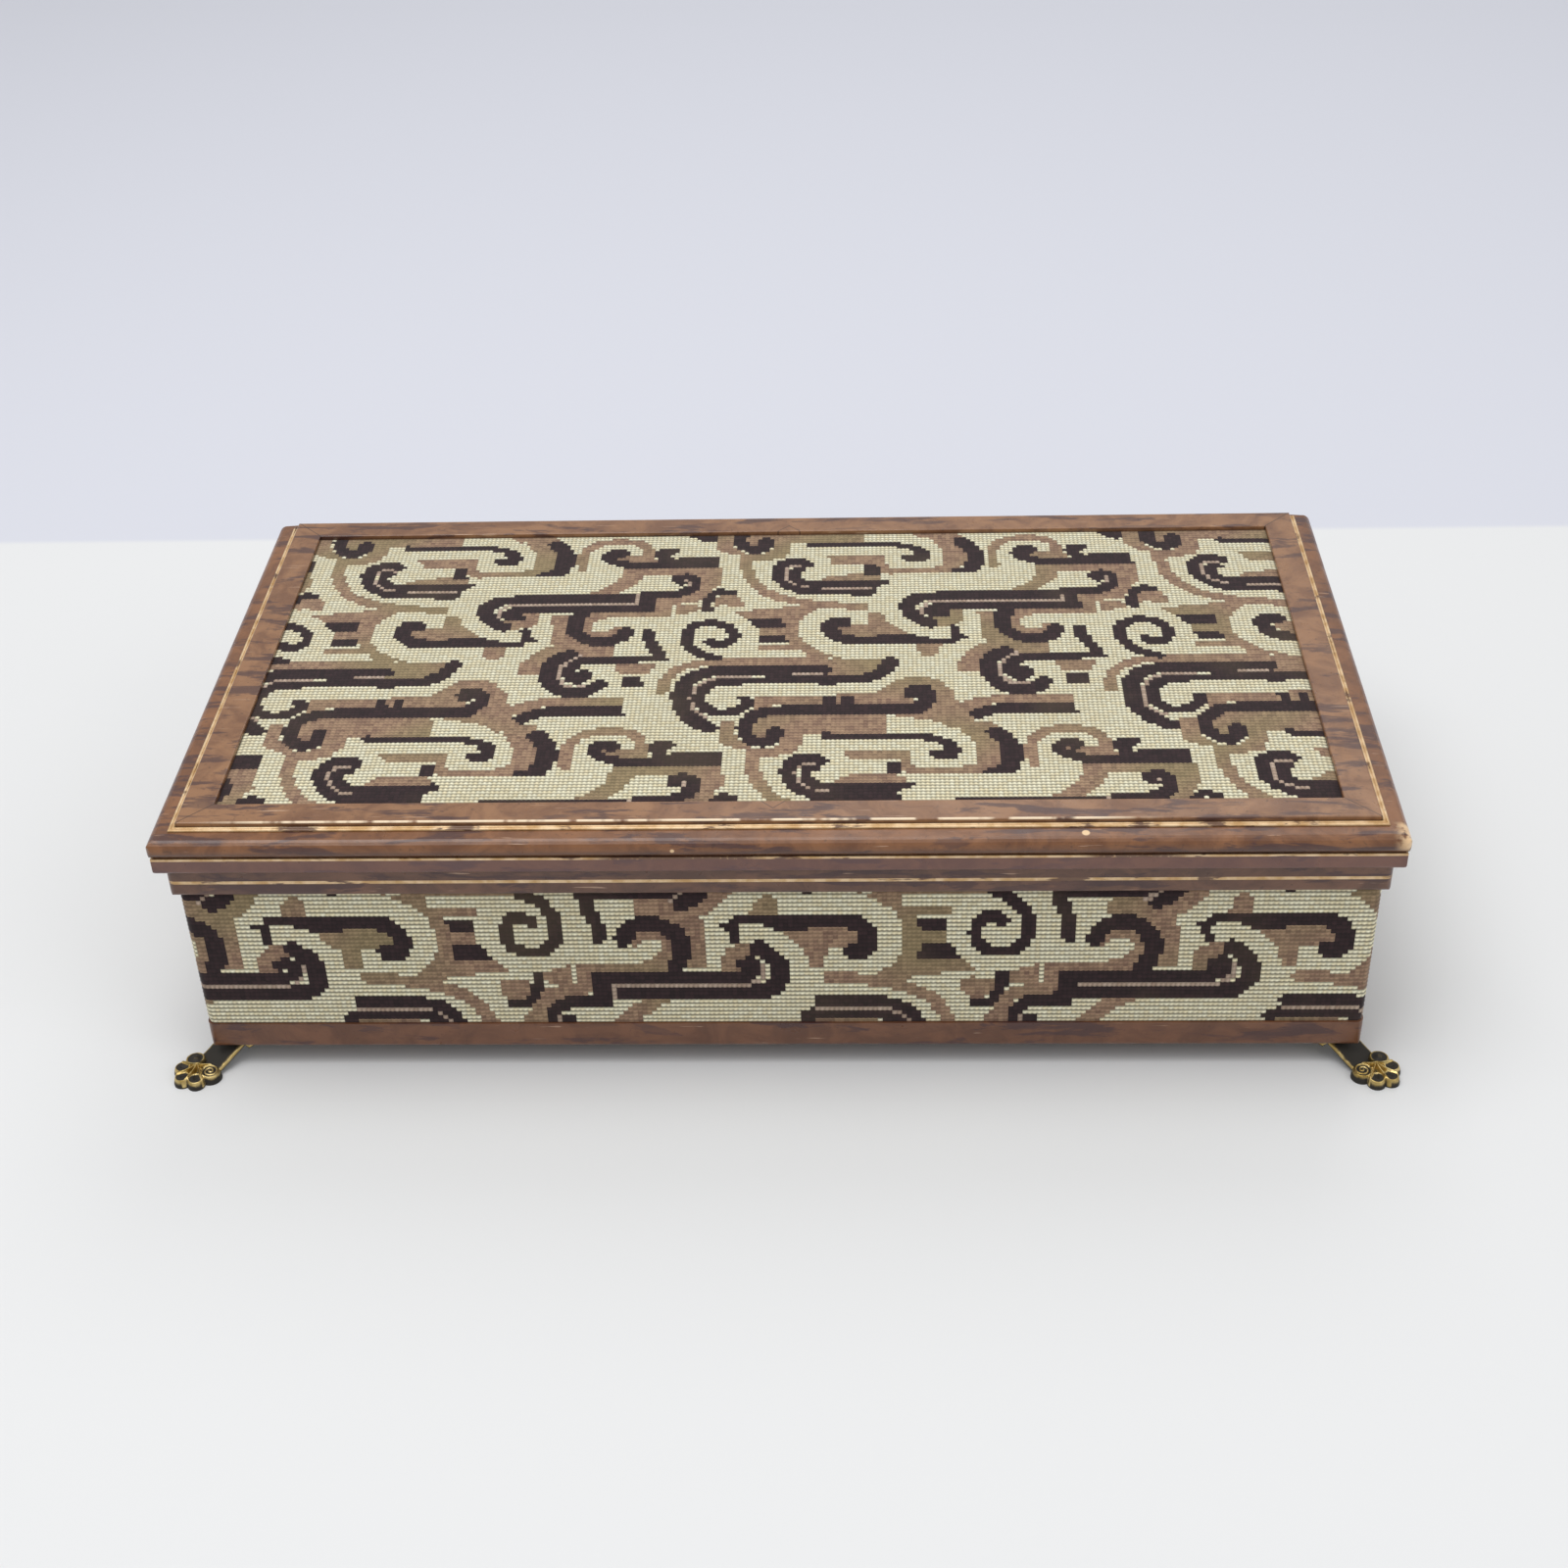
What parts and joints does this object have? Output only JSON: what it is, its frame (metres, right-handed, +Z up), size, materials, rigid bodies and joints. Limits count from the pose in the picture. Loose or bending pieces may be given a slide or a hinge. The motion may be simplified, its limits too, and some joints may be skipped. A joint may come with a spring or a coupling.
{
  "type": "brocade keepsake box",
  "caption": "Low rectangular keepsake box covered in woven scroll brocade, with a hinged moulded lid, a velvet-lined well and four splayed cast scroll feet.",
  "frame": {"origin": "on the resting plane, under the centre of the case", "axes": "+X along the front to the viewer's right, +Y from the front to the hinged back, +Z up"},
  "size_m": [0.317, 0.1736, 0.077],
  "materials": {
    "leatherette": "marbled brown leatherette, satin, worn at the edges",
    "plinth_leatherette": "darker reddish-brown leatherette, satin",
    "brocade": "ribbed tapestry brocade in cream, taupe and aubergine",
    "gilt_line": "worn gold foil line",
    "wood": "unfinished plywood and softwood",
    "velvet": "deep red cotton velvet",
    "aged_brass": "cast brass with black patina in the hollows",
    "hinge_brass": "drawn brass, slightly dulled"
  },
  "bodies": {
    "case": {"front_board": "wood", "back_board": "wood", "left_board": "wood", "right_board": "wood", "floor_board": "wood", "wall_brocade": "brocade", "plinth_front": "plinth_leatherette", "plinth_back": "plinth_leatherette", "plinth_left": "plinth_leatherette", "plinth_right": "plinth_leatherette", "rim_front": "leatherette", "rim_back": "leatherette", "rim_left": "leatherette", "rim_right": "leatherette", "rim_gilt_line": "gilt_line", "foot_front_left": "aged_brass", "foot_front_right": "aged_brass", "foot_back_left": "aged_brass", "foot_back_right": "aged_brass", "foot_screws": "hinge_brass", "floor_pad": "velvet", "lining_front": "velvet", "lining_back": "velvet", "lining_left": "velvet", "lining_right": "velvet", "hinge_left_lower_leaf": "hinge_brass", "hinge_right_lower_leaf": "hinge_brass", "hinge_left_pin": "hinge_brass", "hinge_right_pin": "hinge_brass", "lower_hinge_screws": "hinge_brass"},
    "lid": {"lid_core": "wood", "lid_moulding_front": "leatherette", "lid_moulding_left": "leatherette", "lid_moulding_right": "leatherette", "lid_back_rail": "leatherette", "lid_gilt_line": "gilt_line", "plate_front": "leatherette", "plate_back": "leatherette", "plate_left": "leatherette", "plate_right": "leatherette", "plate_gilt_line": "gilt_line", "lid_brocade": "brocade", "lid_lining": "velvet", "hinge_left_upper_leaf": "hinge_brass", "hinge_right_upper_leaf": "hinge_brass", "upper_hinge_screws": "hinge_brass"}
  },
  "joints": [
    {"name": "lid_hinge", "type": "hinge", "parent": "case", "child": "lid", "pos_m": [0, 0.0798, 0.0652], "axis": [-1, 0, 0], "range_deg": [0, 95]}
  ]
}
